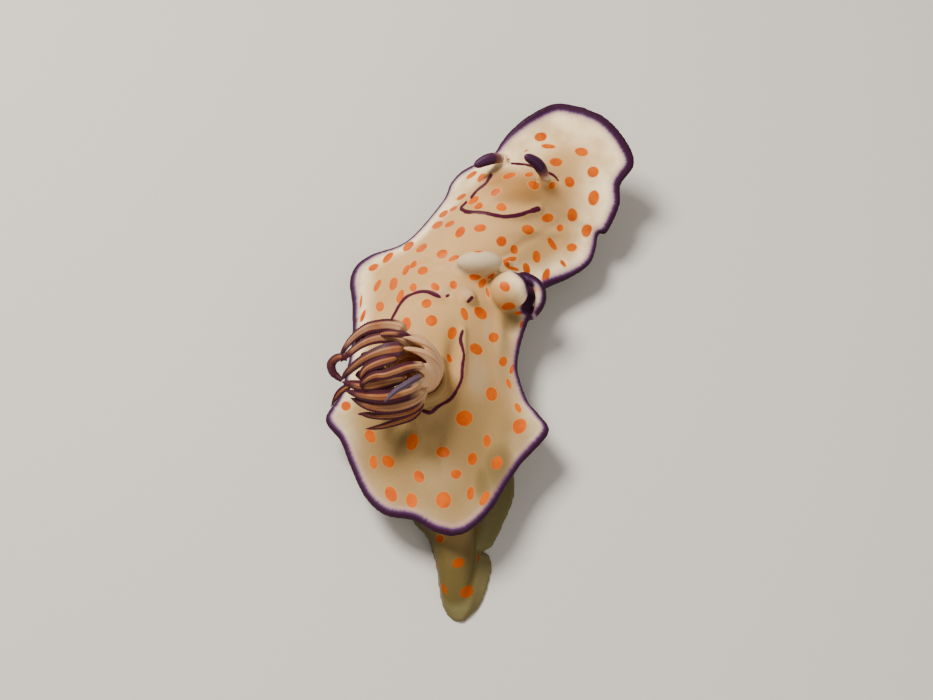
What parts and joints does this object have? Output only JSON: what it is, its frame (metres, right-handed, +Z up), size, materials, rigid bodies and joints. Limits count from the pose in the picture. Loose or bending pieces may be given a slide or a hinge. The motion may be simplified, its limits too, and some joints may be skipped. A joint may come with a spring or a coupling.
{
  "type": "nudibranch sea slug",
  "caption": "Crawling nudibranch with a wavy mantle, two rhinophores, a gill plume, a flat foot and a pointed tail.",
  "frame": {"origin": "centre of the whole box in plan, at the level of the sole", "axes": "+Z up from the ground, +Y from the tail towards the head, +X to the animal's right"},
  "size_m": [0.0375, 0.0649, 0.0219],
  "materials": {
    "mantle": "soft wet skin, cream with orange spots and a purple edge",
    "bulge": "soft translucent skin",
    "flank": "soft wet skin, pale",
    "foot": "soft translucent skin, grey olive cream",
    "head": "soft wet skin, cream",
    "rhinophore": "soft leaved club, dark purple",
    "gill": "thin translucent brown leaves with dark purple edges"
  },
  "bodies": {
    "root": {"mantle_front": "mantle", "mantle_middle": "mantle", "mantle_rear": "mantle", "mantle_fold": "mantle", "mantle_swelling": "bulge", "trunk_front": "flank", "trunk_rear": "flank", "head": "head", "oral_tentacle_left": "head", "oral_tentacle_right": "head", "rhinophore_left": "rhinophore", "rhinophore_right": "rhinophore", "rhinophore_sheath_left": "mantle", "rhinophore_sheath_right": "mantle", "gill_plume": "gill", "gill_pocket": "mantle", "foot_front": "foot", "foot_middle": "foot", "tail": "foot"}
  },
  "joints": []
}
